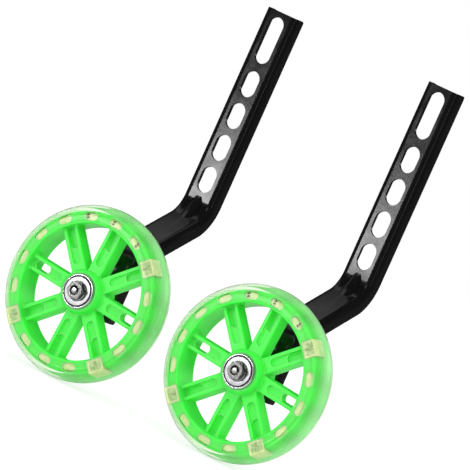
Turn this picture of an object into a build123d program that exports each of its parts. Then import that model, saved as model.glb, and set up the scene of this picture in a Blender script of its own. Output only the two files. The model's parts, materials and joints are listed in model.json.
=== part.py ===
"""A pair of bicycle training wheels.

Each unit is a slotted channel arm that carries a spoked wheel with a clear tyre on two ball bearings.
Both units are alike and stand side by side. X points outboard, along the wheel axle, and Z points up.
"""

import math
import os

from build123d import *

# The pair
pair_spacing = 124.0

# Arm: one sheet folded to a channel that is open towards the bicycle
sheet = 2.2
arm_width = 23.5
flange_depth = 10.5
fold_bevel = 2.4
corner_cut = 2.0
arm_top = 204.0
arm_below_axle = 12.5
arm_offset = 64.0
upper_bend_height = 68.5
lean_angle = 59.0
upper_bend_radius = 15.0
lower_bend_radius = 20.0

# Slots for the bicycle's axle, at heights above the wheel axle
slot_width = 11.0
short_slot_length = 17.0
short_slot_count = 4
short_slot_pitch = 21.7
lowest_slot_height = 90.2
long_slot_length = 31.0
long_slot_height = 185.0

# Pressed dart that stiffens the upper bend
dart_radius = 5.0
dart_proud = 0.6

# Axle: a bolt from inside the channel, with a thinner threaded end that takes a flange nut
bolt_diameter = 8.0
bolt_clearance = 0.2
head_across_flats = 13.0
bolt_head_height = 5.3
thread_diameter = 6.0
thread_run_in = 1.0
nut_across_flats = 10.0
nut_height = 4.0
nut_flange_diameter = 12.2
nut_flange_thickness = 1.0
bolt_end_beyond_nut = 0.5
bolt_end_chamfer = 1.0
washer_thickness = 1.5
washer_diameter = 12.0

# Ball bearings, two in each hub, closed by shields
bearing_outer_diameter = 22.0
bearing_width = 7.0
bearing_proud = 1.8
inner_ring_thickness = 2.0
shield_gap = 0.3
shield_recess = 0.4

# Small rings on the axle are drawn with flats, which keeps the mesh light
outer_ring_flat_count = 24
small_ring_flat_count = 16

# Tyre, cast round the rim
tyre_radius = 55.0
tyre_thickness = 4.5
tyre_width = 23.4
shoulder_drop = 3.65
shoulder_width = 6.7

# Wheel core: hub, spokes and rim in one moulding
hub_length = 23.0
hub_wall = 2.6
bearing_shoulder = 1.5
rim_thickness = 8.2
rim_width = 20.5
spoke_count = 8
spoke_phase = 40.3
spoke_width = 10.0
spoke_depth = 11.0
spoke_rib = 2.2
spoke_root = 1.0
pocket_depth = 2.4
pocket_corner = 1.8
pocket_from_hub = 4.9
deep_pocket_length = 13.3
deep_pocket_depth = 4.2
open_spokes = (1, 5)
hole_from_rim = 2.0

# Windows and light modules round the rim
window_count = 16
window_margin = 1.5
window_offset = 0.5
window_length = 9.4
window_corner = 1.6
module_places = (0, 4, 8)
module_length = 10.6
module_depth = 11.0
module_floor = 1.2
module_cover = 3.2

# Gap left between pieces that are pressed or cast together
fit_gap = 0.02

# Places worked out from the sizes above, with the wheel's middle plane at x = 0 and its axle at z = 0
bolt_radius = bolt_diameter / 2
bolt_hole_radius = bolt_radius + bolt_clearance / 2
thread_radius = thread_diameter / 2
bearing_face = hub_length / 2 + bearing_proud
bearing_back = bearing_face - bearing_width
bearing_radius = bearing_outer_diameter / 2
inner_ring_radius = bolt_radius + inner_ring_thickness
hub_radius = bearing_radius + hub_wall
rim_outer_radius = tyre_radius - tyre_thickness
rim_inner_radius = rim_outer_radius - rim_thickness
window_radius = (rim_inner_radius + rim_outer_radius) / 2 + window_offset
window_width = rim_thickness - 2 * window_margin
web_face = -bearing_face - washer_thickness
upper_web_face = web_face - arm_offset
lean = math.radians(lean_angle)
nut_face = bearing_face + nut_height
bolt_end = nut_face + bolt_end_beyond_nut
innermost = upper_web_face - flange_depth


def turned(*points):
    """A solid of revolution about the axle, from corners given as (x, radius)."""
    return revolve(make_face(Polyline(*points, close=True)), Axis.X)


def across(start, end, sketch):
    """A sketch seen from outboard, pushed along the axle between two places."""
    return extrude(Plane.YZ.offset(start) * sketch, amount=end - start)


def flat_ring(start, end, inner_radius, outer_radius, flats):
    """A ring about the axle with flats outside its hole and inside its rim."""
    outer = RegularPolygon(outer_radius, flats)
    hole = RegularPolygon(inner_radius, flats, major_radius=False)
    return across(start, end, outer - hole)


def around(angle, shape):
    """A shape made along +Y, turned about the axle."""
    return Rot(angle, 0, 0) * shape


def arm_line(depth, overrun):
    """The arm's side line at a depth behind its outer face, from the lower end to the top."""
    drop = depth * math.tan(lean / 2)
    lower_bend_height = upper_bend_height - arm_offset / math.tan(lean)
    return Plane.XZ * FilletPolyline(
        (web_face - depth, -arm_below_axle - overrun),
        (web_face - depth, lower_bend_height - drop),
        (upper_web_face - depth, upper_bend_height - drop),
        (upper_web_face - depth, arm_top + overrun),
        radius=(lower_bend_radius - depth, upper_bend_radius + depth),
    )


def arm_bar(near, far, width, overrun=0.0):
    """A bar along the arm between two depths behind its outer face."""
    front = arm_line(near, overrun)
    back = arm_line(far, overrun)
    ends = [Line(front @ 0, back @ 0), Line(front @ 1, back @ 1)]
    return extrude(make_face([*front.edges(), *back.edges(), *ends]), amount=width / 2, both=True)


def folded_bar():
    """The outside of the channel, with its two long folds bevelled."""
    bar = arm_bar(0, flange_depth, arm_width)
    front = arm_line(0, 0)

    def is_fold(edge):
        middle = edge @ 0.5
        on_side = abs(abs(middle.Y) - arm_width / 2) < fit_gap
        return on_side and front.distance_to(Vector(middle.X, 0, middle.Z)) < fit_gap

    return chamfer(bar.edges().filter_by(is_fold), fold_bevel)


def dart():
    """A round bar that bridges the upper bend and stands a little proud of it."""
    reach = upper_bend_radius * math.tan(lean / 2)
    corner = Vector(upper_web_face, 0, upper_bend_height)
    upper = corner + Vector(0, 0, reach)
    lower = corner + Vector(math.sin(lean), 0, -math.cos(lean)) * reach
    inward = Vector(-math.cos(lean / 2), 0, -math.sin(lean / 2)) * (dart_radius - dart_proud)
    path = lower - upper
    bar = Cylinder(dart_radius, path.length + 2 * dart_radius)
    return Plane((upper + lower) * 0.5 + inward, z_dir=path) * bar


def is_free_corner(edge):
    """True for a flange's back corner at the arm's lower end or at its top."""
    height = (edge @ 0.5).Z
    return edge.length < 2 * sheet and min(abs(height + arm_below_axle), abs(height - arm_top)) < fit_gap


def arm():
    """The stamped channel with its slots, its axle hole and the dart in its upper bend."""
    hollow = arm_bar(sheet, flange_depth + sheet, arm_width - 2 * sheet, overrun=sheet)
    body = folded_bar() + dart() - hollow
    body = chamfer(body.edges().filter_by(Axis.Y).filter_by(is_free_corner), corner_cut)
    slot_places = [lowest_slot_height + i * short_slot_pitch for i in range(short_slot_count)]
    slots = [Pos(0, z) * SlotOverall(short_slot_length, slot_width, rotation=90) for z in slot_places]
    slots.append(Pos(0, long_slot_height) * SlotOverall(long_slot_length, slot_width, rotation=90))
    for slot in slots:
        body -= across(upper_web_face - 2 * sheet, upper_web_face + sheet, slot)
    return body - across(web_face - 2 * sheet, web_face + sheet, Circle(bolt_hole_radius))


def hexagon(across_flats):
    return RegularPolygon(across_flats / 2, 6, major_radius=False)


def axle_bolt():
    """Hex head inside the channel and a shank that steps down to its threaded, chamfered end."""
    head_face = web_face - sheet
    step = bearing_face - thread_run_in
    shank = turned(
        (head_face, 0),
        (bolt_end, 0),
        (bolt_end, thread_radius - bolt_end_chamfer),
        (bolt_end - bolt_end_chamfer, thread_radius),
        (step, thread_radius),
        (step, bolt_radius),
        (head_face, bolt_radius),
    )
    return shank + across(head_face - bolt_head_height, head_face, hexagon(head_across_flats))


def axle_nut():
    """A hexagon nut with a round flange that presses on the bearing's inner ring."""
    hole_radius = thread_radius + bolt_clearance / 2
    flange_end = bearing_face + nut_flange_thickness
    flange = flat_ring(bearing_face, flange_end, hole_radius, nut_flange_diameter / 2, small_ring_flat_count)
    hole = RegularPolygon(hole_radius, small_ring_flat_count, major_radius=False)
    return flange + across(flange_end, nut_face, hexagon(nut_across_flats) - hole)


def spacer_washer():
    return flat_ring(web_face, -bearing_face, bolt_hole_radius, washer_diameter / 2, small_ring_flat_count)


def bearing_sleeve():
    start = -bearing_back
    return flat_ring(start, bearing_back, bolt_hole_radius, inner_ring_radius, small_ring_flat_count)


def inner_ring():
    """The outboard bearing's inner ring."""
    return flat_ring(bearing_back, bearing_face, bolt_hole_radius, inner_ring_radius, small_ring_flat_count)


def outer_ring():
    """The outboard bearing's outer ring, closed by its shields down to a gap round the inner ring."""
    end = bearing_face - shield_recess
    hole_radius = inner_ring_radius + shield_gap
    outside = bearing_radius - fit_gap
    return flat_ring(bearing_back, end, hole_radius, outside, outer_ring_flat_count)


def spoke(is_open):
    """One spoke along +Y with a stepped pocket in each face, cut right through if it is open."""
    half = spoke_depth / 2
    inner = hub_radius - spoke_root
    outer = rim_inner_radius + spoke_root
    body = across(-half, half, Pos((inner + outer) / 2, 0) * Rectangle(outer - inner, spoke_width))
    side = spoke_width / 2 - spoke_rib
    pocket_start = hub_radius + pocket_from_hub
    pocket = Polygon(
        (pocket_start, pocket_corner - side),
        (pocket_start + pocket_corner, -side),
        (rim_inner_radius, -side),
        (rim_inner_radius, side),
        (pocket_start + pocket_corner, side),
        (pocket_start, side - pocket_corner),
        align=None,
    )
    deep_middle = rim_inner_radius - deep_pocket_length / 2
    deep_pocket = Pos(deep_middle, 0) * Rectangle(deep_pocket_length, 2 * side)
    deep = deep_pocket_depth
    if is_open:
        hole = Rectangle(deep_pocket_length - hole_from_rim, 2 * side)
        deep_pocket = Pos(deep_middle - hole_from_rim / 2, 0) * chamfer(hole.vertices(), pocket_corner)
        deep = half
    for cut in (across(half - pocket_depth, half, pocket), across(half - deep, half, deep_pocket)):
        body -= cut
        body -= mirror(cut, Plane.YZ)
    return body


def rim():
    side = rim_width / 2
    return turned(
        (-side, rim_inner_radius),
        (side, rim_inner_radius),
        (side, rim_outer_radius),
        (-side, rim_outer_radius),
    )


def hub():
    """The boss that the spokes meet, still without its bore."""
    return across(-hub_length / 2, hub_length / 2, Circle(hub_radius))


def hub_bore():
    """The stepped hole: a seat for a bearing at each end and a shoulder between them."""
    end = hub_length / 2
    shoulder = bearing_radius - bearing_shoulder
    return turned(
        (-end, 0),
        (end, 0),
        (end, bearing_radius),
        (bearing_back, bearing_radius),
        (bearing_back, shoulder),
        (-bearing_back, shoulder),
        (-bearing_back, bearing_radius),
        (-end, bearing_radius),
    )


def module_block(gap):
    """A light module on the +Y side, or with a gap round it the notch that takes it from the outboard face."""
    face = rim_width / 2
    inner = rim_inner_radius + module_floor - gap
    outer = tyre_radius - module_cover + gap
    block = Rectangle(outer - inner, module_length + 2 * gap)
    return across(face - module_depth - gap, face + gap, Pos((inner + outer) / 2, 0) * block)


def place_angle(place):
    return spoke_phase - place * 360 / window_count


def core():
    """The green moulding: rim, hub and spokes, with windows and notches in the rim."""
    body = rim() + hub()
    for i in range(spoke_count):
        body += around(spoke_phase - i * 360 / spoke_count, spoke(i in open_spokes))
    body -= hub_bore()
    outline = Rectangle(window_width, window_length)
    window = Pos(window_radius, 0) * chamfer(outline.vertices(), window_corner)
    window_cut = across(-rim_width, rim_width, window)
    for place in range(window_count):
        cut = module_block(fit_gap) if place in module_places else window_cut
        body -= around(place_angle(place), cut)
    return body


def tyre():
    """The clear ring that sits on the rim, with sloping shoulders and a pocket for each light module."""
    side = tyre_width / 2
    inner_radius = rim_outer_radius + fit_gap
    shoulder_radius = tyre_radius - shoulder_drop
    crown = side - shoulder_width
    body = turned(
        (-side, inner_radius),
        (side, inner_radius),
        (side, shoulder_radius),
        (crown, tyre_radius),
        (-crown, tyre_radius),
        (-side, shoulder_radius),
    )
    for place in module_places:
        body -= around(place_angle(place), module_block(fit_gap))
    return body


def unit():
    """One unit's pieces by name, about its own axle."""
    pieces = {
        "arm": arm(),
        "spacer_washer": spacer_washer(),
        "bearing_sleeve": bearing_sleeve(),
        "wheel_core": core(),
        "tyre": tyre(),
    }
    for name, piece in (("outer_ring", outer_ring()), ("inner_ring", inner_ring())):
        pieces[f"outer_bearing_{name}"] = piece
        pieces[f"inner_bearing_{name}"] = mirror(piece, Plane.YZ)
    for number, place in enumerate(module_places, 1):
        pieces[f"light_module_{number}"] = around(place_angle(place), module_block(0))
    return pieces


def both(piece):
    """One piece as it stands in each of the two units, left first."""
    middle = (innermost + bolt_end) / 2
    return [Pos(-middle, hand * pair_spacing / 2, tyre_radius) * piece for hand in (-1, 1)]


def main():
    os.makedirs("parts", exist_ok=True)
    for name, piece in unit().items():
        for side, placed in zip(("left", "right"), both(piece)):
            export_step(placed, f"parts/{side}_{name}.step")
    for name, fastener in (("axle_bolts", axle_bolt()), ("axle_nuts", axle_nut())):
        export_step(Compound([placed.solid() for placed in both(fastener)]), f"parts/{name}.step")


main()
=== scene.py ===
# %% [markdown]
# # A pair of bicycle training wheels
# Each unit is a black channel arm with a green spoked wheel in a clear tyre, turning on two ball bearings.
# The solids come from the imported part, which fixes every place and size. This lesson rebuilds the pieces that
# show with softer edges and rounder forms, gives each one its material, and lights the pair for its picture.

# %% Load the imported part
import json
import math

import bmesh
import bpy
from mathutils import Matrix, Vector


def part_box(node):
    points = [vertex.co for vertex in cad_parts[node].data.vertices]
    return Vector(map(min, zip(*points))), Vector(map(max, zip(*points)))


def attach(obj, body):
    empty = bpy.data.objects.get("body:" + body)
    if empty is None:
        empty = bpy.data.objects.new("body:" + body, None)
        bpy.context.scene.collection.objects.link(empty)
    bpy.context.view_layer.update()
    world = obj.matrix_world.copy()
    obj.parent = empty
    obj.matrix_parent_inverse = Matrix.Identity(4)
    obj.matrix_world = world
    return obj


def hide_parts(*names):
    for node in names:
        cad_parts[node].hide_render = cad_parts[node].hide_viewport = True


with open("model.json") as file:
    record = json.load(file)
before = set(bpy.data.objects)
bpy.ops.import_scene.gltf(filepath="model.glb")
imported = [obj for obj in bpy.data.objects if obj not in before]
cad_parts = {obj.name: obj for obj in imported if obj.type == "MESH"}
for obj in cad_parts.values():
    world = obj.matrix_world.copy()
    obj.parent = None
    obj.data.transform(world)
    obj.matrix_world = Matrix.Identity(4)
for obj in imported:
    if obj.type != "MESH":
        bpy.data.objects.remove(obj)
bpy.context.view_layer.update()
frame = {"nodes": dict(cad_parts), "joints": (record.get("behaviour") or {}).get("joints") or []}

# %% [markdown]
# Every shape below is drawn in millimetres about the wheel's own axle: X points outboard, Z points up.
# A finished mesh is then scaled to metres and moved to each unit's axle, so the object itself stays at the
# origin, unturned and unscaled, exactly as the CAD nodes are. The axles' places are read from the joints, and
# the outer sizes of a piece are read from its CAD node.

# %% Axle places and CAD sizes
MM = 0.001
AXLES = {joint["child"].split("_")[0]: Vector(joint["pos_m"]) for joint in frame["joints"]}


def span(node):
    """The low and high corner of one of the left unit's nodes, in millimetres about its axle."""
    return [(corner - AXLES["left"]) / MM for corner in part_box(f"left_{node}")]


print("axles:", {side: [round(c, 4) for c in place] for side, place in AXLES.items()})

# %% [markdown]
# ## Materials
# Colours are written as the sRGB hex values that an eye would pick from a picture, and one function turns
# them to the linear values that Blender mixes light in. One more small function adds a node with its settings
# and its links, which keeps each material readable from top to bottom.

# %% Colour and node helpers
def linear(code):
    """An sRGB hex colour as linear red, green, blue and alpha."""
    parts = [int(code[i:i + 2], 16) / 255 for i in (1, 3, 5)]
    return [c / 12.92 if c <= 0.04045 else ((c + 0.055) / 1.055) ** 2.4 for c in parts] + [1.0]


def add(tree, kind, settings=None, inputs=None):
    """Add a node; inputs may be plain values or the output sockets of other nodes."""
    node = tree.nodes.new(kind)
    for name, value in (settings or {}).items():
        setattr(node, name, value)
    for name, value in (inputs or {}).items():
        if isinstance(value, bpy.types.NodeSocket):
            tree.links.new(value, node.inputs[name])
        else:
            node.inputs[name].default_value = value
    return node


def new_material(name):
    """A material with an empty node tree, that tree, and where in the object a point lies."""
    material = bpy.data.materials.new(name)
    material.use_nodes = True
    tree = material.node_tree
    tree.nodes.clear()
    return material, tree, add(tree, "ShaderNodeTexCoord").outputs["Object"]


print("middle grey in linear light:", round(linear("#808080")[0], 3))

# %% [markdown]
# **Black enamel on steel.** The arms are stamped sheet, dipped or sprayed with a thick black stove enamel.
# The eye sees a deep gloss with a faint orange-peel ripple a few millimetres across, and a few duller
# patches.

# %% Black stove enamel
enamel, tree, place = new_material("black_stove_enamel")
ripple = add(tree, "ShaderNodeTexNoise", inputs={"Vector": place, "Scale": 1 / (3.0 * MM), "Detail": 2.0})
patches = add(tree, "ShaderNodeTexNoise", inputs={"Vector": place, "Scale": 1 / (14.0 * MM), "Detail": 4.0})
dull = add(tree, "ShaderNodeMapRange", inputs={
    "Value": patches.outputs["Fac"], "From Min": 0.35, "From Max": 0.7, "To Min": 0.14, "To Max": 0.24})
bump = add(tree, "ShaderNodeBump", inputs={
    "Height": ripple.outputs["Fac"], "Strength": 0.05, "Distance": 0.4 * MM})
shader = add(tree, "ShaderNodeBsdfPrincipled", inputs={
    "Base Color": linear("#0b0b0c"), "IOR": 1.5, "Roughness": dull.outputs["Result"],
    "Normal": bump.outputs["Normal"]})
add(tree, "ShaderNodeOutputMaterial", inputs={"Surface": shader.outputs["BSDF"]})
print("made", enamel.name)

# %% [markdown]
# ** Green moulded plastic.** The core is one injection moulding in a bright, cloudy green plastic. Green light
# travels some millimetres inside it, so shaded pockets glow a deep green, while edges, which are thin, look
# paler. Subsurface scattering with a long green reach gives the glow. The paler edges are painted light: a
# pale green is painted onto them where a bevel node finds them. Near an edge the normal that the bevel node
# rounds off turns away from the true one, and that turn is the mask.

# %% Green moulded plastic
green, tree, place = new_material("green_moulded_plastic")
flow = add(tree, "ShaderNodeTexNoise", inputs={"Vector": place, "Scale": 1 / (14.0 * MM), "Detail": 2.0})
cloud = add(tree, "ShaderNodeMix", {"data_type": "RGBA"}, {
    "Factor": flow.outputs["Fac"], "A": linear("#3bee42"), "B": linear("#56f45c")})
rounded = add(tree, "ShaderNodeBevel", {"samples": 6}, {"Radius": 1.1 * MM})
true = add(tree, "ShaderNodeNewGeometry")
turned = add(tree, "ShaderNodeVectorMath", {"operation": "DOT_PRODUCT"}, {
    0: rounded.outputs["Normal"], 1: true.outputs["Normal"]})
# Painted highlight: the bevel mask lays a pale green on every edge, for the light that thin edges let through
# and catch.
edge = add(tree, "ShaderNodeMapRange", inputs={
    "Value": turned.outputs["Value"], "From Min": 0.985, "From Max": 0.8, "To Min": 0.0, "To Max": 0.95})
painted_pale_edges = add(tree, "ShaderNodeMix", {"data_type": "RGBA"}, {
    "Factor": edge.outputs["Result"], "A": cloud.outputs["Result"], "B": linear("#b4ffae")})
shader = add(tree, "ShaderNodeBsdfPrincipled", inputs={
    "Base Color": painted_pale_edges.outputs["Result"], "IOR": 1.45, "Roughness": 0.34, "Subsurface Weight": 1.0,
    "Subsurface Radius": (0.25, 1.0, 0.3), "Subsurface Scale": 4.0 * MM})
add(tree, "ShaderNodeOutputMaterial", inputs={"Surface": shader.outputs["BSDF"]})
print("made", green.name)

# %% [markdown]
# ** Clear polyurethane.** The tyre is cast from a clear, faintly green-yellow polyurethane. The real resin
# bends light more than this one. Its index is drawn low here so that the band outside the green rim stays
# clear, as it looks in the photograph, and a coat with the real index brings back the gloss. The tyre's sides
# are clear, but the running band across the tread is milky. The green of the rim below it is painted into
# the band's colour as painted light. How far a point lies from the wheel's middle plane decides both, how
# clear it is and how much of that painted green it shows.

# %% Clear cast polyurethane
clear, tree, place = new_material("clear_cast_polyurethane")
waves = add(tree, "ShaderNodeTexNoise", inputs={"Vector": place, "Scale": 1 / (6.0 * MM), "Detail": 2.0})
bump = add(tree, "ShaderNodeBump", inputs={
    "Height": waves.outputs["Fac"], "Strength": 0.1, "Distance": 0.4 * MM})
along = add(tree, "ShaderNodeSeparateXYZ", inputs={"Vector": place}).outputs["X"]
offset = add(tree, "ShaderNodeMath", {"operation": "SUBTRACT"}, {0: along, 1: AXLES["left"].x})
from_middle = add(tree, "ShaderNodeMath", {"operation": "ABSOLUTE"}, {0: offset.outputs["Value"]})
clearness = add(tree, "ShaderNodeMapRange", {"interpolation_type": "SMOOTHSTEP"}, {
    "Value": from_middle.outputs["Value"], "From Min": 0.0, "From Max": 10.0 * MM,
    "To Min": 0.5, "To Max": 0.96})
# Painted light: the green near the middle plane stands for the rim seen through the tread; the pale, milky
# colour is the resin's own.
milk_and_painted_rim_green = add(tree, "ShaderNodeMix", {"data_type": "RGBA"}, {
    "Factor": clearness.outputs["Result"], "A": linear("#84f684"), "B": linear("#eeffe4")})
shader = add(tree, "ShaderNodeBsdfPrincipled", inputs={
    "Base Color": milk_and_painted_rim_green.outputs["Result"], "IOR": 1.12, "Roughness": 0.12,
    "Transmission Weight": clearness.outputs["Result"], "Coat Weight": 0.6, "Coat IOR": 1.45,
    "Coat Roughness": 0.2, "Normal": bump.outputs["Normal"]})
add(tree, "ShaderNodeOutputMaterial", inputs={"Surface": shader.outputs["BSDF"]})
print("made", clear.name)

# %% [markdown]
# ** Cream resin.** The light modules and the plugs in the windows take a cream, half clear resin. Its
# yellow-green cast is painted light from the green plastic around it. In the plugs the pale cream is painted
# light as well: it stands for white light that shines through the windows from behind. Blotches a few
# millimetres across stand for what lies inside.

# %% Cream resin
cream_and_painted_glow, tree, place = new_material("cream_cast_resin")
blotch = add(tree, "ShaderNodeTexNoise", inputs={"Vector": place, "Scale": 1 / (3.5 * MM), "Detail": 3.0})
clouded = add(tree, "ShaderNodeMapRange", inputs={
    "Value": blotch.outputs["Fac"], "From Min": 0.38, "From Max": 0.62})
# Painted light: the yellow-green cast from the plastic around, and in the plugs the pale cream for light from
# behind.
mixed = add(tree, "ShaderNodeMix", {"data_type": "RGBA"}, {
    "Factor": clouded.outputs["Result"], "A": linear("#e2ecaa"), "B": linear("#fff0d0")})
shader = add(tree, "ShaderNodeBsdfPrincipled", inputs={
    "Base Color": mixed.outputs["Result"], "IOR": 1.45, "Roughness": 0.3, "Subsurface Weight": 0.5,
    "Subsurface Radius": (0.8, 1.0, 0.5), "Subsurface Scale": 2.0 * MM})
add(tree, "ShaderNodeOutputMaterial", inputs={"Surface": shader.outputs["BSDF"]})
print("made", cream_and_painted_glow.name)

# %% [markdown]
# **Lacquer and copper.** The floor of a light module's panel is a circuit board under pale green lacquer,
# blotched with cream. The lamp on it is lacquered a darker, dull green that turns brown in places. The legs
# that show in the windows are bare copper that went dark.

# %% Lacquered circuit board
board, tree, place = new_material("lacquered_circuit_board")
blotch = add(tree, "ShaderNodeTexNoise", inputs={"Vector": place, "Scale": 1 / (2.5 * MM), "Detail": 2.0})
patchy = add(tree, "ShaderNodeMapRange", inputs={
    "Value": blotch.outputs["Fac"], "From Min": 0.35, "From Max": 0.65})
mixed = add(tree, "ShaderNodeMix", {"data_type": "RGBA"}, {
    "Factor": patchy.outputs["Result"], "A": linear("#9cc07e"), "B": linear("#dcdcb2")})
shader = add(tree, "ShaderNodeBsdfPrincipled", inputs={
    "Base Color": mixed.outputs["Result"], "IOR": 1.5, "Roughness": 0.35})
add(tree, "ShaderNodeOutputMaterial", inputs={"Surface": shader.outputs["BSDF"]})
print("made", board.name)

# %% Lacquered lamp
lacquer, tree, place = new_material("green_lacquered_lamp")
blotch = add(tree, "ShaderNodeTexNoise", inputs={"Vector": place, "Scale": 1 / (2.0 * MM), "Detail": 2.0})
mixed = add(tree, "ShaderNodeMix", {"data_type": "RGBA"}, {
    "Factor": blotch.outputs["Fac"], "A": linear("#86a468"), "B": linear("#b0ac7c")})
shader = add(tree, "ShaderNodeBsdfPrincipled", inputs={
    "Base Color": mixed.outputs["Result"], "IOR": 1.5, "Roughness": 0.35})
add(tree, "ShaderNodeOutputMaterial", inputs={"Surface": shader.outputs["BSDF"]})
print("made", lacquer.name)

# %% Dark copper
copper, tree, place = new_material("darkened_copper_lead")
tarnish = add(tree, "ShaderNodeTexNoise", inputs={"Vector": place, "Scale": 1 / (1.0 * MM), "Detail": 2.0})
mixed = add(tree, "ShaderNodeMix", {"data_type": "RGBA"}, {
    "Factor": tarnish.outputs["Fac"], "A": linear("#2c3a1c"), "B": linear("#6a5a34")})
shader = add(tree, "ShaderNodeBsdfPrincipled", inputs={
    "Base Color": mixed.outputs["Result"], "Metallic": 0.3, "Roughness": 0.45})
add(tree, "ShaderNodeOutputMaterial", inputs={"Surface": shader.outputs["BSDF"]})
print("made", copper.name)

# %% [markdown]
# ** Steel.** The bearings are polished and the fasteners plated with zinc, which looks greyer and carries a
# fine mottle. Where a nut's corners are turned off, and at a bolt's tip, the metal is bright and bare, so
# those faces take the polished steel. Both are metals: their colour is the colour of their reflection. The
# seal groove of a bearing is painted almost black, as painted shade for the dark deep in the groove.

# %% Polished steel
polished, tree, place = new_material("polished_bearing_steel")
mottle = add(tree, "ShaderNodeTexNoise", inputs={"Vector": place, "Scale": 1 / (3.0 * MM), "Detail": 2.0})
rough = add(tree, "ShaderNodeMapRange", inputs={
    "Value": mottle.outputs["Fac"], "To Min": 0.1, "To Max": 0.18})
shader = add(tree, "ShaderNodeBsdfPrincipled", inputs={
    "Base Color": linear("#dcd9de"), "Metallic": 1.0, "Roughness": rough.outputs["Result"]})
add(tree, "ShaderNodeOutputMaterial", inputs={"Surface": shader.outputs["BSDF"]})
print("made", polished.name)

# %% Zinc plate
zinc, tree, place = new_material("bright_zinc_plate")
mottle = add(tree, "ShaderNodeTexNoise", inputs={"Vector": place, "Scale": 1 / (1.6 * MM), "Detail": 3.0})
rough = add(tree, "ShaderNodeMapRange", inputs={
    "Value": mottle.outputs["Fac"], "To Min": 0.12, "To Max": 0.3})
bump = add(tree, "ShaderNodeBump", inputs={
    "Height": mottle.outputs["Fac"], "Strength": 0.12, "Distance": 0.2 * MM})
shader = add(tree, "ShaderNodeBsdfPrincipled", inputs={
    "Base Color": linear("#7c7b7a"), "Metallic": 1.0, "Roughness": rough.outputs["Result"],
    "Normal": bump.outputs["Normal"]})
add(tree, "ShaderNodeOutputMaterial", inputs={"Surface": shader.outputs["BSDF"]})
print("made", zinc.name)

# %% Groove painted dark as shade
groove_shade, tree, place = new_material("greased_seal_groove")
groove_mottle = add(tree, "ShaderNodeTexNoise", inputs={"Vector": place, "Scale": 1 / (2.5 * MM), "Detail": 2.0})
# Painted shade: two near-black purples for the shade deep in the seal groove.
mixed = add(tree, "ShaderNodeMix", {"data_type": "RGBA"}, {
    "Factor": groove_mottle.outputs["Fac"], "A": linear("#19141c"), "B": linear("#3a3040")})
shader = add(tree, "ShaderNodeBsdfPrincipled", inputs={
    "Base Color": mixed.outputs["Result"], "Roughness": 0.5})
add(tree, "ShaderNodeOutputMaterial", inputs={"Surface": shader.outputs["BSDF"]})
print("made", groove_shade.name)

# %% [markdown]
# ## The arm
# The real arm is one strip of sheet, folded to a channel and then bent twice. A modeller could push a profile
# along a curve, but extrude and spin are nearer to how it is made: the channel's section is drawn once as a
# chain of edges, then extruded along each straight run and spun round each bend. Solidify gives the sheet its
# thickness.

# %% Arm sizes
SHEET = 2.2
FLANGE, FOLD, CORNER = 10.5, 4.5, 1.6
LEAN = math.radians(59.0)
LOWER_RADIUS, UPPER_RADIUS = 20.0, 15.0
UPPER_CORNER = 68.5
arm_low, arm_high = span("arm")
ARM_WIDTH = arm_high.y - arm_low.y
ARM_FOOT, ARM_TOP = arm_low.z, arm_high.z
WEB = arm_high.x
OFFSET = WEB - arm_low.x - FLANGE
UPPER_WEB = WEB - OFFSET
LOWER_CORNER = UPPER_CORNER - OFFSET / math.tan(LEAN)
LOWER_TANGENT = LOWER_RADIUS * math.tan(LEAN / 2)
UPPER_TANGENT = UPPER_RADIUS * math.tan(LEAN / 2)
print("arm:", round(ARM_WIDTH, 1), "mm wide, its upper part", round(OFFSET, 1), "mm inboard of the lower")

# %% The channel's section
bm = bmesh.new()
half = ARM_WIDTH / 2
corners = [(WEB - FLANGE, -half), (WEB, -half), (WEB, half), (WEB - FLANGE, half)]
section = [bm.verts.new((x, y, ARM_FOOT)) for x, y in corners]
for pair in zip(section, section[1:]):
    bm.edges.new(pair)
bmesh.ops.bevel(bm, geom=section[1:3], offset=FOLD, affect="VERTICES", segments=8, profile=0.5, material=-1)
end = list(bm.edges)
print("section:", len(end), "edges")

# %% Straight runs and bends
BEND_STEPS = 16


def run(bm, end, step):
    """Extrude the open end of the strip by a step and give back its new end."""
    grown = bmesh.ops.extrude_edge_only(bm, edges=end)["geom"]
    moved = {g for g in grown if isinstance(g, bmesh.types.BMVert)}
    bmesh.ops.translate(bm, vec=step, verts=list(moved))
    return [g for g in grown if isinstance(g, bmesh.types.BMEdge) and set(g.verts) <= moved]


def bend(bm, end, centre, angle):
    """Spin the open end of the strip about a bend's centre and give back its new end."""
    geom = end + list({v for e in end for v in e.verts})
    swept = bmesh.ops.spin(bm, geom=geom, cent=centre, axis=(0, 1, 0), angle=angle, steps=BEND_STEPS,
                           use_duplicate=False)
    return [g for g in swept["geom_last"] if isinstance(g, bmesh.types.BMEdge)]


slope = OFFSET / math.sin(LEAN) - LOWER_TANGENT - UPPER_TANGENT
end = run(bm, end, (0, 0, LOWER_CORNER - LOWER_TANGENT - ARM_FOOT))
end = bend(bm, end, (WEB - LOWER_RADIUS, 0, LOWER_CORNER - LOWER_TANGENT), -LEAN)
end = run(bm, end, (-slope * math.sin(LEAN), 0, slope * math.cos(LEAN)))
end = bend(bm, end, (UPPER_WEB + UPPER_RADIUS, 0, UPPER_CORNER + UPPER_TANGENT), LEAN)
run(bm, end, (0, 0, ARM_TOP - UPPER_CORNER - UPPER_TANGENT))
print("strip:", len(bm.faces), "faces, with a slope of", round(slope, 1), "mm between its bends")

# %% Rounded corners and sheet thickness
def to_object(bm, name):
    """Turn a bmesh into an object in the scene and let the bmesh go."""
    mesh = bpy.data.meshes.new(name)
    bm.to_mesh(mesh)
    bm.free()
    thing = bpy.data.objects.new(name, mesh)
    bpy.context.scene.collection.objects.link(thing)
    return thing


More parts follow.
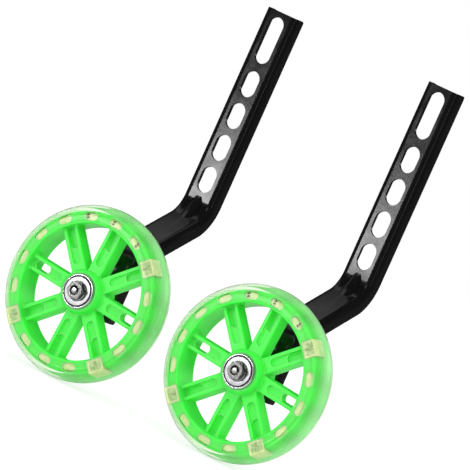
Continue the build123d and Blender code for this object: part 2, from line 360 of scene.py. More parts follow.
bmesh.ops.remove_doubles(bm, verts=bm.verts, dist=0.001)
free = [v for v in bm.verts if len(v.link_edges) == 2]
bmesh.ops.bevel(bm, geom=free, offset=CORNER, affect="VERTICES", segments=5, profile=0.5, material=-1)
bmesh.ops.recalc_face_normals(bm, faces=bm.faces)
web_face = max(bm.faces, key=lambda f: f.calc_area())
if web_face.normal.x < 0:
    bmesh.ops.reverse_faces(bm, faces=bm.faces)
bmesh.ops.solidify(bm, geom=list(bm.faces), thickness=SHEET)
bmesh.ops.recalc_face_normals(bm, faces=bm.faces)
arm = to_object(bm, "arm")
print("folded sheet:", len(arm.data.polygons), "faces, box", [round(d, 1) for d in arm.dimensions])

# %% [markdown]
# The dart is pressed into the upper bend to stiffen it. It could be sculpted, but a round bar laid across the
# inside of the bend is exact: once it is joined to the sheet, only its crown stands out.

# %% Pressed dart
DART_RADIUS, DART_PROUD = 4.5, 1.2


def combine(base, other, operation):
    """Join or cut with a Boolean modifier, keep the result as the base's mesh, and remove the other."""
    modifier = base.modifiers.new(operation, "BOOLEAN")
    modifier.operation = operation
    modifier.solver = "EXACT"
    modifier.object = other
    graph = bpy.context.evaluated_depsgraph_get()
    mesh = bpy.data.meshes.new_from_object(base.evaluated_get(graph))
    base.modifiers.clear()
    base.data = mesh
    bpy.data.objects.remove(other)
    return base


bm = bmesh.new()
chord = 2 * UPPER_TANGENT * math.cos(LEAN / 2)
bmesh.ops.create_cone(bm, cap_ends=True, segments=64, radius1=DART_RADIUS, radius2=DART_RADIUS,
                      depth=chord + 2 * DART_RADIUS)
half_chord = Vector((math.sin(LEAN), 0, 1 - math.cos(LEAN))) * UPPER_TANGENT / 2
middle = Vector((UPPER_WEB, 0, UPPER_CORNER)) + half_chord
sunk = Vector((-math.cos(LEAN / 2), 0, -math.sin(LEAN / 2))) * (DART_RADIUS - DART_PROUD)
lean_bar = Matrix.Translation(middle + sunk) @ Matrix.Rotation(-LEAN / 2, 4, "Y")
bmesh.ops.transform(bm, matrix=lean_bar, verts=bm.verts)
bmesh.ops.recalc_face_normals(bm, faces=bm.faces)
combine(arm, to_object(bm, "dart"), "UNION")
print("arm with dart:", len(arm.data.polygons), "faces")

# %% [markdown]
# The slots take the bicycle's rear axle, and the round hole takes the wheel's bolt. All are cut by bars. A
# slot's bar is a circle whose two halves are pulled apart, extruded through the sheet.

# %% Slots and bolt hole
SLOT_WIDTH, SHORT_SLOT, LONG_SLOT = 11.0, 17.0, 31.0
SHORT_SLOTS, LOWEST_SLOT, SLOT_PITCH, LONG_SLOT_HEIGHT = 4, 90.2, 21.7, 185.0
BOLT_HOLE_R, CUT_DEPTH = 4.1, 4 * SHEET
ALONG_AXLE = Matrix.Rotation(math.pi / 2, 3, "Y")


def stadium(bm, length, width, depth, segments=48):
    """A round-ended bar along X, long in Z, centred on the origin."""
    ring = bmesh.ops.create_circle(bm, cap_ends=True, segments=segments, radius=width / 2)["verts"]
    for v in ring:
        v.co.y += math.copysign((length - width) / 2, v.co.y + 1e-6)
    face = ring[0].link_faces[0]
    top = bmesh.ops.extrude_face_region(bm, geom=[face])["geom"]
    lifted = [g for g in top if isinstance(g, bmesh.types.BMVert)]
    bmesh.ops.translate(bm, vec=(0, 0, depth), verts=lifted)
    bar = ring + lifted
    bmesh.ops.translate(bm, vec=(0, 0, -depth / 2), verts=bar)
    turn = Matrix(((0, 0, 1), (1, 0, 0), (0, 1, 0)))
    bmesh.ops.transform(bm, matrix=turn.to_4x4(), verts=bar)
    return bar


bm = bmesh.new()
slots = [(SHORT_SLOT, LOWEST_SLOT + SLOT_PITCH * i) for i in range(SHORT_SLOTS)]
for length, height in slots + [(LONG_SLOT, LONG_SLOT_HEIGHT)]:
    cut = stadium(bm, length, SLOT_WIDTH, CUT_DEPTH)
    bmesh.ops.translate(bm, vec=(UPPER_WEB - SHEET / 2, 0, height), verts=cut)
hole = bmesh.ops.create_cone(bm, cap_ends=True, segments=48, radius1=BOLT_HOLE_R, radius2=BOLT_HOLE_R,
                             depth=CUT_DEPTH)["verts"]
bmesh.ops.rotate(bm, cent=(0, 0, 0), matrix=ALONG_AXLE, verts=hole)
bmesh.ops.translate(bm, vec=(WEB - SHEET / 2, 0, 0), verts=hole)
bmesh.ops.recalc_face_normals(bm, faces=bm.faces)
combine(arm, to_object(bm, "slot_bars"), "DIFFERENCE")
print("arm with slots:", len(arm.data.polygons), "faces")

# %% [markdown]
# No real edge is perfectly sharp: a punched and enamelled one is round enough to draw a thin line of light.
# A bevel of the edges that turn by a steep angle gives that line.

# %% Softened edges of the arm
SHEET_EDGE, SHEET_TURN = 0.55, math.radians(60)


def soften(thing, offset, chosen, segments=2):
    """Bevel the edges that a test picks out, so that they catch the light as real edges do."""
    bm = bmesh.new()
    bm.from_mesh(thing.data)
    bmesh.ops.remove_doubles(bm, verts=bm.verts, dist=0.002)
    edges = [e for e in bm.edges if len(e.link_faces) == 2 and chosen(e)]
    bmesh.ops.bevel(bm, geom=edges, offset=offset, affect="EDGES", segments=segments, profile=0.5,
                    material=-1, clamp_overlap=True)
    bm.to_mesh(thing.data)
    bm.free()
    return len(edges)


edges = soften(arm, SHEET_EDGE, lambda e: e.calc_face_angle(0) > SHEET_TURN)
print("arm:", len(arm.data.polygons), "faces,", edges, "edges softened")

# %% [markdown]
# A finished shape is smoothed, copied to each unit and tied to its body. It stands for its CAD node from then
# on. Smooth shading alone would bend the light on flat faces, so a weighted normal keeps those flat.

# %% An arm for each unit
SHARP_TURN = math.radians(32)


def shade(bm):
    """Smooth faces, with a sharp edge wherever two faces turn by a steep angle."""
    bmesh.ops.remove_doubles(bm, verts=bm.verts, dist=0.0005)
    bmesh.ops.recalc_face_normals(bm, faces=bm.faces)
    for face in bm.faces:
        face.smooth = True
    for edge in bm.edges:
        edge.smooth = len(edge.link_faces) == 2 and edge.calc_face_angle(0) < SHARP_TURN


def even_normals(piece):
    """Let large flat faces keep their own normal, so that only the small bevels beside them look round."""
    modifier = piece.modifiers.new("even_normals", "WEIGHTED_NORMAL")
    modifier.weight = 100
    modifier.keep_sharp = True


def set_out(thing, name, body, node, slot, *materials):
    """Copy a finished shape to each unit, ride it on its body and let it stand for its CAD node, if any."""
    for side, place in AXLES.items():
        bm = bmesh.new()
        bm.from_mesh(thing.data)
        shade(bm)
        bmesh.ops.transform(bm, matrix=Matrix.Translation(place) @ Matrix.Scale(MM, 4), verts=bm.verts)
        piece = to_object(bm, f"{side}_{name}")
        for material in materials:
            piece.data.materials.append(material)
        even_normals(piece)
        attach(piece, body.format(side=side))
        if node:
            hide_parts(node.format(side=side))
    print(name, "on each unit:", sum(len(p.vertices) - 2 for p in piece.data.polygons), "triangles")
    bpy.data.objects.remove(thing)


set_out(arm, "channel_arm", "arms", "{side}_arm", "black_arm", enamel)

# %% [markdown]
# ## The wheel core
# Rim, hub and spokes are one moulding. The round parts are half sections spun about the axle, with the
# section's corners rounded first. A lathe-like spin gives cleaner rounds than a bevel of the finished ring.

# %% Spun rim
RIM_IN, RIM_OUT, RIM_HALF = 42.3, 50.5, 10.25
RIM_LIP, RIM_ROUND = 1.0, 2.6
STEPS = 144


def spun(name, corners, steps=STEPS, groove=None):
    """Spin a closed section about the axle.

    A corner is its x, its radius and the size of its rounding. A groove is the two radii of a dark band.
    """
    bm = bmesh.new()
    verts = [bm.verts.new((x, radius, 0)) for x, radius, _ in corners]
    for pair in zip(verts, verts[1:] + verts[:1]):
        bm.edges.new(pair)
    rounds = [rounding for _, _, rounding in corners]
    for size in sorted(set(rounds) - {0}):
        chosen = [v for v, r in zip(verts, rounds) if r == size and v.is_valid]
        bmesh.ops.bevel(bm, geom=chosen, offset=size, affect="VERTICES", segments=5, profile=0.5, material=-1)
    bmesh.ops.spin(bm, geom=list(bm.verts) + list(bm.edges), cent=(0, 0, 0), axis=(1, 0, 0),
                   angle=2 * math.pi, steps=steps, use_merge=True, use_duplicate=False)
    bmesh.ops.remove_doubles(bm, verts=bm.verts, dist=0.0005)
    bmesh.ops.recalc_face_normals(bm, faces=bm.faces)
    for face in bm.faces if groove else []:
        middle = face.calc_center_median()
        face.material_index = int(groove[0] < math.hypot(middle.y, middle.z) < groove[1])
    return to_object(bm, name)


def rim_ring(name, inset):
    """The rim's ring, or one that lies a little inside its faces."""
    half, outer = RIM_HALF - inset, RIM_OUT - inset
    return spun(name, [(-half, RIM_IN, RIM_LIP), (half, RIM_IN, RIM_LIP), (half, outer, RIM_ROUND),
                       (-half, outer, RIM_ROUND)])


core = rim_ring("core", 0)
print("rim:", len(core.data.polygons), "faces")

# %% Spun hub
SEAT_R, SHOULDER_R, SEAT_EDGE = 11.0, 9.5, 0.25
HUB_END_R, HUB_R, HUB_FLARE = 12.7, 14.1, 2.4
HUB_END_EDGE, HUB_ROUND = 0.6, 1.0
HUB_HALF = span("wheel_core")[1].x
SEAT_BACK = span("outer_bearing_outer_ring")[0].x
hub = spun("hub", [
    (-HUB_HALF, SEAT_R, SEAT_EDGE), (-SEAT_BACK, SEAT_R, 0), (-SEAT_BACK, SHOULDER_R, 0),
    (SEAT_BACK, SHOULDER_R, 0), (SEAT_BACK, SEAT_R, 0), (HUB_HALF, SEAT_R, SEAT_EDGE),
    (HUB_HALF, HUB_END_R, HUB_END_EDGE), (HUB_HALF - HUB_FLARE, HUB_R, HUB_ROUND),
    (HUB_FLARE - HUB_HALF, HUB_R, HUB_ROUND), (-HUB_HALF, HUB_END_R, HUB_END_EDGE)])
print("hub:", len(hub.data.polygons), "faces")

# %% [markdown]
# A spoke is a bar with a round-ended pocket in each face and a deeper one towards the rim, which saves
# plastic and keeps the walls even. In two of the spokes the deeper pocket goes right through. The pockets
# could be drawn face by face, but cutting them with the slot's bar makes every wall round in the same way.

# %% One spoke
SPOKE_WIDTH, SPOKE_DEPTH, SPOKE_RIB, SPOKE_EDGE = 10.0, 11.0, 2.2, 0.7
SPOKE_START, SPOKE_END = 12.6, 43.3
POCKET_WIDTH = SPOKE_WIDTH - 2 * SPOKE_RIB
POCKET_START, POCKET_DEPTH = 18.5, 2.4
DEEP_START, DEEP_DEPTH = 29.0, 4.2
HOLE_END = RIM_IN - 2.0
POCKET_EDGE, POCKET_TURN, HAIR = 0.45, math.radians(40), 0.01


def block(bm, size, middle):
    """A rectangular block of a size, about its middle."""
    verts = bmesh.ops.create_cube(bm, size=1.0)["verts"]
    bmesh.ops.scale(bm, vec=size, verts=verts)
    bmesh.ops.translate(bm, vec=middle, verts=verts)
    return verts


def is_pocket_rim(e):
    """True for the edges where a pocket opens in a face of the spoke."""
    on_face = all(abs(v.co.x) > SPOKE_DEPTH / 2 - HAIR for v in e.verts)
    in_pocket = all(abs(v.co.z) < POCKET_WIDTH / 2 + HAIR for v in e.verts)
    return on_face and in_pocket and e.calc_face_angle(0) > POCKET_TURN


def spoke(is_open):
    """One spoke along +Y, with its pockets, or with a hole in place of the deeper ones."""
    bm = bmesh.new()
    long = SPOKE_END - SPOKE_START
    block(bm, (SPOKE_DEPTH, long, SPOKE_WIDTH), (0, SPOKE_START + long / 2, 0))
    ridge = [e for e in bm.edges if abs((e.verts[0].co - e.verts[1].co).y) > 1]
    bmesh.ops.bevel(bm, geom=ridge, offset=SPOKE_EDGE, affect="EDGES", segments=3, profile=0.5, material=-1)
    bar = to_object(bm, "spoke")
    past_end = SPOKE_END + POCKET_WIDTH
    deeper = (DEEP_START, HOLE_END, SPOKE_DEPTH) if is_open else (DEEP_START, past_end, DEEP_DEPTH)
    for face in (1, -1):
        for start, stop, sink in ((POCKET_START, past_end, POCKET_DEPTH), deeper):
            bm = bmesh.new()
            reach = stop - start
            cut = stadium(bm, reach, POCKET_WIDTH, 2 * sink, segments=32)
            bmesh.ops.rotate(bm, cent=(0, 0, 0), matrix=Matrix.Rotation(-math.pi / 2, 3, "X"), verts=cut)
            bmesh.ops.translate(bm, vec=(face * SPOKE_DEPTH / 2, start + reach / 2, 0), verts=cut)
            combine(bar, to_object(bm, "pocket"), "DIFFERENCE")
    soften(bar, POCKET_EDGE, is_pocket_rim)
    return bar


print("pockets:", round(POCKET_WIDTH, 1), "mm wide")

# %% [markdown]
# Eight turned spokes are joined to the hub, and the hub to the rim, by a Boolean union. That leaves one
# closed skin with no hidden walls, which matters here because light travels inside the plastic.

# %% Spokes joined to hub and rim
SPOKES, OPEN_SPOKES = 8, (1, 5)
SPOKE_PHASE = math.radians(40.3)
for number in range(SPOKES):
    bar = spoke(number in OPEN_SPOKES)
    bar.data.transform(Matrix.Rotation(SPOKE_PHASE - number * 2 * math.pi / SPOKES, 4, "X"))
    combine(hub, bar, "UNION")
combine(core, hub, "UNION")
print("core with hub and spokes:", len(core.data.polygons), "faces")

# %% [markdown]
# Sixteen places run round the rim. Three of them are notches for light modules and the other thirteen are
# oval windows. Both are cut with bars again, and their edges are softened afterwards.

# %% Windows and module notches
PLACES, MODULE_PLACES = 16, (0, 4, 8)
WINDOW_R, WINDOW_LENGTH, WINDOW_WIDTH, WINDOW_DEPTH = 46.9, 9.4, 5.2, 3 * RIM_HALF
MODULE_LENGTH, MODULE_DEPTH, MODULE_IN, MODULE_OUT = 10.6, 11.0, 43.5, 51.8
MODULE_R = (MODULE_IN + MODULE_OUT) / 2


def place_turn(place):
    """The turn about the axle that brings +Y to a place on the rim."""
    return Matrix.Rotation(SPOKE_PHASE - place * 2 * math.pi / PLACES, 4, "X")


def window_bar(bm, gap):
    """A round-ended bar through the rim at +Y, thinner than a window by a gap all round."""
    bar = stadium(bm, WINDOW_LENGTH - 2 * gap, WINDOW_WIDTH - 2 * gap, WINDOW_DEPTH, segments=32)
    bmesh.ops.translate(bm, vec=(0, WINDOW_R, 0), verts=bar)
    return bar


bm = bmesh.new()
for place in range(PLACES):
    if place in MODULE_PLACES:
        cut = block(bm, (2 * MODULE_DEPTH, MODULE_OUT - MODULE_IN, MODULE_LENGTH), (RIM_HALF, MODULE_R, 0))
    else:
        cut = window_bar(bm, 0)
    bmesh.ops.transform(bm, matrix=place_turn(place), verts=cut)
bmesh.ops.recalc_face_normals(bm, faces=bm.faces)
combine(core, to_object(bm, "window_bars"), "DIFFERENCE")
print("core with windows:", len(core.data.polygons), "faces")

# %% Softened windows, and a core for each unit
WINDOW_EDGE, WINDOW_TURN, NEAR_FACE = 0.3, math.radians(50), 1.0


def is_window_rim(e):
    """True for the edges where a window or a notch meets the rim's face."""
    radii = [math.hypot(v.co.y, v.co.z) for v in e.verts]
    near_face = all(abs(v.co.x) > RIM_HALF - NEAR_FACE for v in e.verts)
    return near_face and min(radii) > RIM_IN + RIM_LIP and e.calc_face_angle(0) > WINDOW_TURN


edges = soften(core, WINDOW_EDGE, is_window_rim)
print("core:", len(core.data.polygons), "faces,", edges, "window edges softened")
set_out(core, "wheel_core_moulding", "{side}_wheel", "{side}_wheel_core", "green_plastic", green)

# %% [markdown]
# Each window is closed by a plug that sits a little below the rim's face. Its pale cream is painted light,
# for the white light that shines through the window from behind. The plugs are oval bars cut to length by a
# ring that lies just inside the rim, so they follow its rounded edge. All thirteen are one piece.

# %% Window plugs
PLUG_SUNK, PLUG_GAP = 1.0, 0.04
bm = bmesh.new()
for place in range(PLACES):
    if place not in MODULE_PLACES:
        bmesh.ops.transform(bm, matrix=place_turn(place), verts=window_bar(bm, PLUG_GAP))
bmesh.ops.recalc_face_normals(bm, faces=bm.faces)
plugs = combine(to_object(bm, "plugs"), rim_ring("inner_ring", PLUG_SUNK), "INTERSECT")
set_out(plugs, "window_plugs", "{side}_wheel", None, "cream_plastic", cream_and_painted_glow)

# %% [markdown]
# A light module is a small cream case set into the outboard half of the rim, with a sunk panel in its face.
# The panel's floor is a circuit board. An inset makes the panel from the case's own face, so the board needs
# no piece of its own, only a second material.

# %% Light modules
MODULE_EDGE, PANEL_EDGE, PANEL_SUNK = 0.5, 1.2, 0.6
FACING_OUT = 0.99
for number, place in enumerate(MODULE_PLACES, 1):
    bm = bmesh.new()
    block(bm, (MODULE_DEPTH, MODULE_OUT - MODULE_IN - 2 * PLUG_GAP, MODULE_LENGTH - 2 * PLUG_GAP),
          (RIM_HALF - MODULE_DEPTH / 2, MODULE_R, 0))
    bmesh.ops.bevel(bm, geom=list(bm.edges), offset=MODULE_EDGE, affect="EDGES", segments=3, profile=0.5,
                    material=-1)
    panels = [f for f in bm.faces if f.normal.x > FACING_OUT]
    bmesh.ops.inset_individual(bm, faces=panels, thickness=PANEL_EDGE, depth=-PANEL_SUNK)
    panels[0].material_index = 1
    bmesh.ops.transform(bm, matrix=place_turn(place), verts=bm.verts)
    set_out(to_object(bm, "module"), f"light_module_{number}_case", "{side}_wheel",
            f"{{side}}_light_module_{number}", "cream_plastic", cream_and_painted_glow, board)

# %% [markdown]
# On the board lies a small lamp with two legs, drawn as three short bars that stand a little proud of the
# panel. Some plugs show the dark ends of such legs, two at each of three places.

# %% Lamps in the modules
LAMP_PROUD, LAMP_R, LEG_R = 0.25, 1.4, 0.22
LAMP_BARS = [((-2.8, 0.2), (-0.2, 0.2), LAMP_R), ((-0.2, 1.0), (2.9, 1.1), LEG_R),
             ((-0.2, -0.6), (2.9, -0.7), LEG_R)]


def wire(bm, start, end, radius):
    """A short round bar between two points."""
    start, end = Vector(start), Vector(end)
    bar = bmesh.ops.create_cone(bm, cap_ends=True, segments=12, radius1=radius, radius2=radius,
                                depth=(end - start).length)["verts"]
    aim = (end - start).to_track_quat("Z", "Y").to_matrix().to_4x4()
    bmesh.ops.transform(bm, matrix=Matrix.Translation((start + end) / 2) @ aim, verts=bar)
    return bar


bm = bmesh.new()
for place in MODULE_PLACES:
    made = []
    for (y0, z0), (y1, z1), radius in LAMP_BARS:
        x = RIM_HALF - PANEL_SUNK + LAMP_PROUD - radius
        made += wire(bm, (x, MODULE_R + y0, z0), (x, MODULE_R + y1, z1), radius)
    bmesh.ops.transform(bm, matrix=place_turn(place), verts=made)
bmesh.ops.recalc_face_normals(bm, faces=bm.faces)
set_out(to_object(bm, "lamps"), "module_lamps", "{side}_wheel", None, "cream_plastic", lacquer)

# %% Leg ends in the windows
LEAD_R, LEAD_LEAN, LEAD_SHARE = 0.5, 0.6, 0.45
LEAD_STEPS = (-1.1, 0.7)
LEAD_PLACES = {13: 3.2, 14: 2.4, 15: -2.4}
bm = bmesh.new()
level = RIM_HALF - PLUG_SUNK
for place, along in LEAD_PLACES.items():
    made = []
    for step in LEAD_STEPS:
        inner = WINDOW_R + step
        made += wire(bm, (level, inner, along), (level, inner + LEAD_LEAN, along * LEAD_SHARE), LEAD_R)
    bmesh.ops.transform(bm, matrix=place_turn(place), verts=made)
bmesh.ops.recalc_face_normals(bm, faces=bm.faces)
set_out(to_object(bm, "leads"), "lamp_leads", "{side}_wheel", None, "cream_plastic", copper)

# %% [markdown]
# ## The clear tyre
# The tyre is a closed ring spun from a rounded section. The cast resin also ran over the rim's faces as a
# thin skin that covers the windows. Its inner side lies inside the green rim, so that light in the clear
# ring meets the plastic directly, as it does where the two are bonded. A thin air gap there would act as a
# mirror.

# %% Spun tyre
TYRE_R, TYRE_HALF = 55.0, span("tyre")[1].x
SHOULDER_DROP, SHOULDER_WIDTH = 3.65, 6.7
SKIN, SKIN_IN, SKIN_OUT = 0.4, RIM_IN + 1.4, 48.4
SKIN_SUNK, SKIN_TAPER, SIDE_TAPER = 0.2, 0.6, 1.6
TYRE_STEPS = 192
one_side = [
    (RIM_HALF - SKIN_SUNK, SKIN_IN, 0), (RIM_HALF + SKIN, SKIN_IN + SKIN_TAPER, 0.3),
    (RIM_HALF + SKIN, SKIN_OUT, 1.2), (TYRE_HALF, SKIN_OUT + SIDE_TAPER, 0.8),
    (TYRE_HALF, TYRE_R - SHOULDER_DROP, 0.9), (TYRE_HALF - SHOULDER_WIDTH, TYRE_R, 3.4)]
other_side = [(-x, radius, rounding) for x, radius, rounding in reversed(one_side)]
tyre = spun("tyre", one_side + other_side, steps=TYRE_STEPS)
set_out(tyre, "clear_tyre_ring", "{side}_wheel", "{side}_tyre", "clear_tyre", clear)

# %% [markdown]
# ## Bearings and fasteners
# A shielded bearing shows a polished outer ring, a dark groove and a pale pressed shield. All three come from
# one spun section, and the radius of a face decides whether it is steel or the groove's painted shade.

# %% Bearings
BEARING_FACE = span("outer_bearing_outer_ring")[1].x
RING_R, SHIELD_IN, SHIELD_PROUD = SEAT_R - 0.03, 6.35, 0.35
GROOVE_IN, GROOVE_OUT, GROOVE_DEPTH = 8.9, 9.9, 0.8
DARK_BAND = (GROOVE_IN + 0.16, GROOVE_OUT + 0.02)
BEARING_STEPS = 96
shield_face, groove_floor = BEARING_FACE + SHIELD_PROUD, BEARING_FACE - GROOVE_DEPTH
outboard = [
    (SEAT_BACK, SHIELD_IN, 0), (SEAT_BACK, RING_R, 0.3), (BEARING_FACE, RING_R, 0.7),
    (BEARING_FACE, GROOVE_OUT, 0.12), (groove_floor, GROOVE_OUT, 0), (groove_floor, GROOVE_IN, 0),
    (shield_face, GROOVE_IN, 0.12), (shield_face, SHIELD_IN, 0.1)]
for end, hand in (("outer", 1), ("inner", -1)):
    corners = [(hand * x, radius, rounding) for x, radius, rounding in outboard]
    ring = spun("ring", corners, steps=BEARING_STEPS, groove=DARK_BAND)
    set_out(ring, f"{end}_bearing_shielded_ring", "{side}_wheel", f"{{side}}_{end}_bearing_outer_ring",
            "bearing_steel", polished, groove_shade)

# %% [markdown]
# A hexagon nut is a six-sided prism with its corners turned off on a lathe. The same is done here: the prism
# is intersected with a spun, chamfered disc, which leaves the curved edges that a plain bevel would miss.

# %% Nut
FASTENER_STEPS, FASTENER_EDGE, FASTENER_TURN = 64, 0.15, math.radians(25)
NUT_FLATS, THREAD_R, NUT_TURN = 10.0, 3.0, math.radians(12.0)
NUT_HOLE_R = THREAD_R + 0.1
CHAMFER, PAST_CORNER = math.radians(30), 0.05
FLANGE_R, FLANGE_HEIGHT = 6.1, 1.0
nut_low, nut_high = [(corner - AXLES[side]) / MM for corner, side in zip(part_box("axle_nuts"), AXLES)]
NUT_BACK, NUT_HEIGHT = nut_low.x, nut_high.x - nut_low.x


def hexagon(name, start, height, flats, hole, turn=0.0):
    """A hexagon across the axle with both ends' corners turned off, and a hole if one is given."""
    corner = flats / math.sqrt(3)
    bm = bmesh.new()
    bmesh.ops.create_cone(bm, cap_ends=True, segments=6, radius1=corner, radius2=corner, depth=height)
    bmesh.ops.rotate(bm, cent=(0, 0, 0), matrix=Matrix.Rotation(turn, 3, "Z"), verts=bm.verts)
    bmesh.ops.rotate(bm, cent=(0, 0, 0), matrix=ALONG_AXLE, verts=bm.verts)
    bmesh.ops.translate(bm, vec=(start + height / 2, 0, 0), verts=bm.verts)
    prism = to_object(bm, name)
    end, narrow, wide = start + height, flats / 2, corner + PAST_CORNER
    slope = (wide - narrow) * math.tan(CHAMFER)
    disc = spun("disc", [(start, hole, 0), (start, narrow, 0), (start + slope, wide, 0),
                         (end - slope, wide, 0), (end, narrow, 0), (end, hole, 0)], steps=FASTENER_STEPS)
    return combine(prism, disc, "INTERSECT")


def is_fastener_edge(e):
    """True for the edges of a nut or bolt that a plating would round off."""
    return e.calc_face_angle(0) > FASTENER_TURN


flange_face = NUT_BACK + FLANGE_HEIGHT
nut = hexagon("nut", NUT_BACK + FLANGE_HEIGHT / 2, NUT_HEIGHT - FLANGE_HEIGHT / 2, NUT_FLATS, NUT_HOLE_R,
              NUT_TURN)
flange = spun("flange", [(NUT_BACK, NUT_HOLE_R, 0), (NUT_BACK, FLANGE_R, 0.2), (flange_face, FLANGE_R, 0.4),
                         (flange_face, NUT_HOLE_R, 0)], steps=FASTENER_STEPS)
combine(nut, flange, "UNION")
soften(nut, FASTENER_EDGE, is_fastener_edge)
print("nut:", len(nut.data.polygons), "faces")

# %% Bolt
HEAD_FLATS, HEAD_HEIGHT, HEAD_FACE = 13.0, 5.3, WEB - SHEET
BOLT_R, BOLT_END = 4.0, (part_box("axle_bolts")[1].x - AXLES["left"].x) / MM
TIP_LENGTH, TIP_DOME, TIP_R, TIP_FLAT_R = 1.0, 0.35, 2.2, 1.5
inside_head = HEAD_FACE - 0.5
thread_start = NUT_BACK - 1.0
bolt = hexagon("bolt", HEAD_FACE - HEAD_HEIGHT, HEAD_HEIGHT, HEAD_FLATS, 0.0)
shank = spun("shank", [
    (inside_head, 0, 0), (inside_head, BOLT_R, 0), (thread_start, BOLT_R, 0), (thread_start, THREAD_R, 0),
    (BOLT_END - TIP_LENGTH, THREAD_R, 0.2), (BOLT_END - TIP_DOME, TIP_R, 0.3), (BOLT_END, TIP_FLAT_R, 0.15),
    (BOLT_END, 0, 0)], steps=FASTENER_STEPS)
combine(bolt, shank, "UNION")
soften(bolt, FASTENER_EDGE, is_fastener_edge)
print("bolt:", len(bolt.data.polygons), "faces")

# %% [markdown]
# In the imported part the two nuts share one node, and so do the two bolts. Each pair is therefore one mesh
# here. Faces that lean outboard on a nut are its turned-off corners, which are bare metal, like a bolt's tip.

# %% Both nuts and both bolts
LEAST_LEAN, MOST_LEAN = 0.3, 0.95
TIP_X = AXLES["left"].x + (BOLT_END - 0.05) * MM
for thing, name, node in ((nut, "axle_nuts_plated", "axle_nuts"), (bolt, "axle_bolts_plated", "axle_bolts")):
    bm = bmesh.new()
    for place in AXLES.values():
        before = set(bm.verts)
        bm.from_mesh(thing.data)
        fresh = [v for v in bm.verts if v not in before]
        bmesh.ops.transform(bm, matrix=Matrix.Translation(place / MM), verts=fresh)
    shade(bm)
    bmesh.ops.scale(bm, vec=(MM, MM, MM), verts=bm.verts)
    for face in bm.faces:
        at_tip = face.calc_center_median().x > TIP_X
        turned_off = thing is nut and LEAST_LEAN < face.normal.x < MOST_LEAN
        face.material_index = int(at_tip or turned_off)
    piece = to_object(bm, name)
    piece.data.materials.append(zinc)
    piece.data.materials.append(polished)
    even_normals(piece)
    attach(piece, "arms")
    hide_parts(node)
    bpy.data.objects.remove(thing)
    print(name, len(piece.data.polygons), "faces")

# %% [markdown]
# The small rings, washers and sleeves on the axle hardly show, so their CAD nodes stay as they are and only
# take a steel finish.

# %% Carried-over nodes
for name, node in frame["nodes"].items():
    if not node.hide_render:
        steel = polished if "ring" in name else zinc
        node.data.materials.clear()
        node.data.materials.append(steel)
        print("kept", name)

# %% [markdown]
# ## Camera
# The photograph was taken from far away with a long lens, a little to the right of the wheels' axle and just
# above it, and the picture is tilted clockwise. The camera's three axes are worked out from those angles, and
# its lens from the size of one millimetre in the picture.

# %% Camera from the photograph's angles
AZIMUTH, ELEVATION, ROLL = math.radians(28.5), math.radians(3.5), math.radians(24.1)
PICTURE, PX_PER_MM = 470, 1.6474
DISTANCE = 4.0
SEEN_OUTBOARD = 9.0
SEEN_AT = (160.2, 331.7)
flat = math.cos(ELEVATION)
to_camera = Vector((flat * math.cos(AZIMUTH), flat * math.sin(AZIMUTH), math.sin(ELEVATION)))
level = Vector((-math.sin(AZIMUTH), math.cos(AZIMUTH), 0))
upright = to_camera.cross(level)
right = math.cos(ROLL) * level + math.sin(ROLL) * upright
up = math.cos(ROLL) * upright - math.sin(ROLL) * level
seen_point = sum(AXLES.values(), Vector()) / len(AXLES) + Vector((SEEN_OUTBOARD * MM, 0, 0))
shift = [(PICTURE / 2 - SEEN_AT[0]) / PX_PER_MM * MM, (SEEN_AT[1] - PICTURE / 2) / PX_PER_MM * MM]
centre = seen_point + right * shift[0] + up * shift[1]
lens = bpy.data.cameras.new("long_lens")
lens.sensor_width = 36.0
lens.lens = lens.sensor_width * DISTANCE / (PICTURE / PX_PER_MM * MM)
lens.clip_end = 20.0
camera = bpy.data.objects.new("camera", lens)
bpy.context.scene.collection.objects.link(camera)
turn = Matrix((right, up, to_camera)).transposed().to_4x4()
camera.matrix_world = Matrix.Translation(centre + to_camera * DISTANCE) @ turn
bpy.context.scene.camera = camera
print("lens", round(lens.lens), "mm, aimed at", [round(c, 4) for c in centre])

# %% [markdown]
# ## Floor and light
# The backdrop is plain white. The pale floor adds some light of its own where the camera sees it, so it stays
# white and still takes a faint shadow. In reflections it is pale only near the wheels and dim farther out,
# so that the black enamel stays black.

# %% White floor
FLOOR_R, FLOOR_DROP = 2.6, 0.0004
NEAR_R, FAR_R = 0.25, 0.5


def ray_masks(tree):
    """Two masks: one for rays that show the backdrop, one for rays that reflect it."""
    path = add(tree, "ShaderNodeLightPath")
    seen = add(tree, "ShaderNodeMath", {"operation": "MAXIMUM"}, {
        0: path.outputs["Is Camera Ray"], 1: path.outputs["Is Transmission Ray"]})
    return seen.outputs["Value"], path.outputs["Is Glossy Ray"]


def mix_shaders(tree, mask, first, second):
    """The first shader, and the second where the mask is on."""
    return add(tree, "ShaderNodeMixShader", inputs={0: mask, 1: first, 2: second}).outputs["Shader"]


bm = bmesh.new()
bmesh.ops.create_circle(bm, cap_ends=True, segments=64, radius=FLOOR_R)
bmesh.ops.translate(bm, vec=(0, 0, -FLOOR_DROP), verts=bm.verts)
floor = to_object(bm, "floor")
paper, tree, place = new_material("white_paper_floor")
seen, mirrored = ray_masks(tree)
plain = add(tree, "ShaderNodeBsdfDiffuse", inputs={"Color": linear("#f4f4f4")}).outputs["BSDF"]
faint = add(tree, "ShaderNodeBsdfDiffuse", inputs={"Color": linear("#a0a0a0")}).outputs["BSDF"]
glow = add(tree, "ShaderNodeEmission", inputs={"Strength": 0.72}).outputs["Emission"]
shadowed = add(tree, "ShaderNodeAddShader", inputs={0: faint, 1: glow}).outputs["Shader"]
reach = add(tree, "ShaderNodeVectorMath", {"operation": "LENGTH"}, {0: place})
far = add(tree, "ShaderNodeMapRange", inputs={
    "Value": reach.outputs["Value"], "From Min": NEAR_R, "From Max": FAR_R})
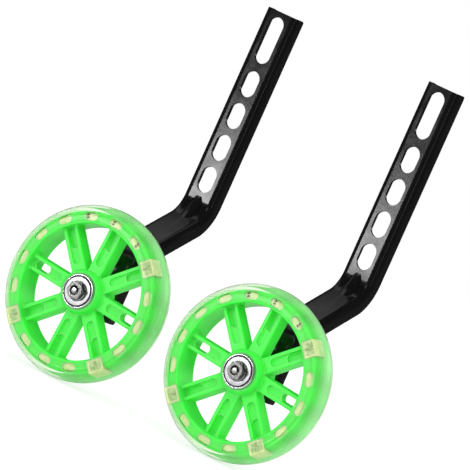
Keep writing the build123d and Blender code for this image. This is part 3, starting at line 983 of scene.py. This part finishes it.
tone = add(tree, "ShaderNodeMix", {"data_type": "RGBA"}, {
    "Factor": far.outputs["Result"], "A": linear("#c8c8c8"), "B": linear("#505050")})
dim = add(tree, "ShaderNodeBsdfDiffuse", inputs={"Color": tone.outputs["Result"]}).outputs["BSDF"]
result = mix_shaders(tree, seen, mix_shaders(tree, mirrored, plain, dim), shadowed)
add(tree, "ShaderNodeOutputMaterial", inputs={"Surface": result})
floor.data.materials.append(paper)
print("floor:", paper.name)

# %% [markdown]
# The world is white to the camera, behind clear plastic and where it lights the pieces. Only in reflections
# is it almost black, as a studio hung with black cloth would be.

# %% Studio world
WHITE, CLOTH = 1.0, 0.05
world = bpy.data.worlds.new("white_studio")
bpy.context.scene.world = world
world.use_nodes = True
tree = world.node_tree
tree.nodes.clear()
seen, mirrored = ray_masks(tree)
backdrops = [add(tree, "ShaderNodeBackground", inputs={"Color": (1, 1, 1, 1), "Strength": strength})
             for strength in (WHITE, CLOTH)]
white, cloth = [backdrop.outputs["Background"] for backdrop in backdrops]
result = mix_shaders(tree, seen, mix_shaders(tree, mirrored, white, cloth), white)
add(tree, "ShaderNodeOutputWorld", inputs={"Surface": result})
print("world:", world.name)

# %% [markdown]
# A soft lamp above and in front on the right lights the wheels and isn't seen in reflections. Black gloss
# shows only what it mirrors, so the other lamps are reflection cards: they are seen in the shiny surfaces
# but light nothing. A low strip in front on the left draws the grey sheen on the flat of the upper arms, and
# a card near the floor whitens the bearings. A narrow card on the right draws the fine line along the folds,
# and one behind on the right brightens the bearings' sides and the tread. One close above the slope greys it
# with a soft edge, and one in front, higher up, lights the turned-off corners of the nuts.

# %% Lamps and reflection cards
def lamp(name, place, aim, size, radiance, card=True, roll=0.0):
    """A rectangular lamp that faces a point, with its power worked out from its brightness.

    A card is seen only in reflections; any other lamp lights the pieces and is not seen in them.
    """
    data = bpy.data.lights.new(name, "AREA")
    data.shape = "RECTANGLE"
    data.size, data.size_y = size
    data.energy = radiance * math.pi * size[0] * size[1]
    thing = bpy.data.objects.new(name, data)
    bpy.context.scene.collection.objects.link(thing)
    thing.location = place
    facing = (Vector(aim) - Vector(place)).to_track_quat("-Z", "Y").to_matrix()
    thing.rotation_euler = (facing @ Matrix.Rotation(math.radians(roll), 3, "Z")).to_euler()
    thing.visible_diffuse = thing.visible_transmission = not card
    thing.visible_glossy = card


lamp("soft_key", (1.0, 0.75, 1.3), (0.0, 0.0, 0.08), (1.0, 1.0), 2.4, card=False)
lamp("sheen_strip", (0.79, -0.43, 0.083), (-0.04, 0.02, 0.14), (0.36, 0.075), 16.0)
lamp("bearing_card", (0.49, -0.24, 0.03), (0.05, 0.0, 0.055), (0.5, 0.055), 0.8)
lamp("fold_card", (0.5, 0.9, 0.16), (-0.04, 0.06, 0.22), (0.05, 0.14), 3.0)
lamp("back_card", (-1.0, 0.42, 0.45), (0.05, 0.06, 0.06), (0.5, 0.25), 1.2)
lamp("slope_card", (-0.072, -0.167, 0.413), (0.053, 0.0, 0.132), (0.16, 0.45), 0.5, roll=43.1)
lamp("nut_card", (0.84, 0.1, 0.475), (0.05, 0.0, 0.055), (0.3, 0.2), 1.4)
bpy.context.scene.view_settings.view_transform = "Standard"
